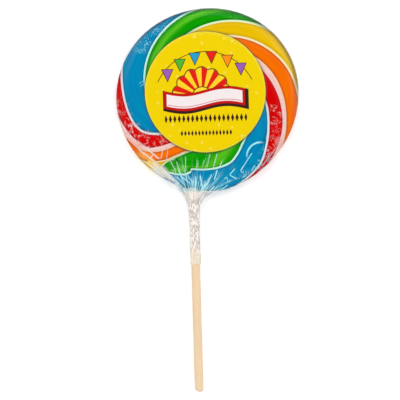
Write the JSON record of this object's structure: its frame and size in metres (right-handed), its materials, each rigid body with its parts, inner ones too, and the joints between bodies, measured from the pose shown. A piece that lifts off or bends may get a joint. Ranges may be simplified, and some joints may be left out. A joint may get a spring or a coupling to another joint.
{
  "type": "swirl lollipop",
  "caption": "Round flat lollipop of hard candy with a rainbow pinwheel swirl, in a clear film bag gathered round its wooden stick, with a round sticker on the front.",
  "frame": {"origin": "centre of the swirl, on the flat back of the film that the lollipop lies on", "axes": "+Z out of the labelled front, +Y from the stick's free end towards the candy"},
  "size_m": [0.1156, 0.2439, 0.0111],
  "materials": {
    "candy_white": "glossy hard candy, pinkish white",
    "candy_yellow": "glossy hard candy, yellow",
    "candy_orange": "glossy hard candy, orange",
    "candy_red": "glossy hard candy, red",
    "candy_blue": "glossy hard candy, blue",
    "candy_green": "glossy hard candy, green",
    "stick_wood": "bare pale hardwood",
    "clear_film": "clear glossy film, crinkled at the neck",
    "label_paper": "satin printed sticker"
  },
  "bodies": {
    "root": {"candy_white": "candy_white", "candy_yellow_1": "candy_yellow", "candy_orange_1": "candy_orange", "candy_red_1": "candy_red", "candy_blue_1": "candy_blue", "candy_green_1": "candy_green", "candy_yellow_2": "candy_yellow", "candy_orange_2": "candy_orange", "candy_red_2": "candy_red", "candy_blue_2": "candy_blue", "candy_green_2": "candy_green", "stick": "stick_wood", "wrapper": "clear_film", "label": "label_paper"}
  },
  "joints": []
}
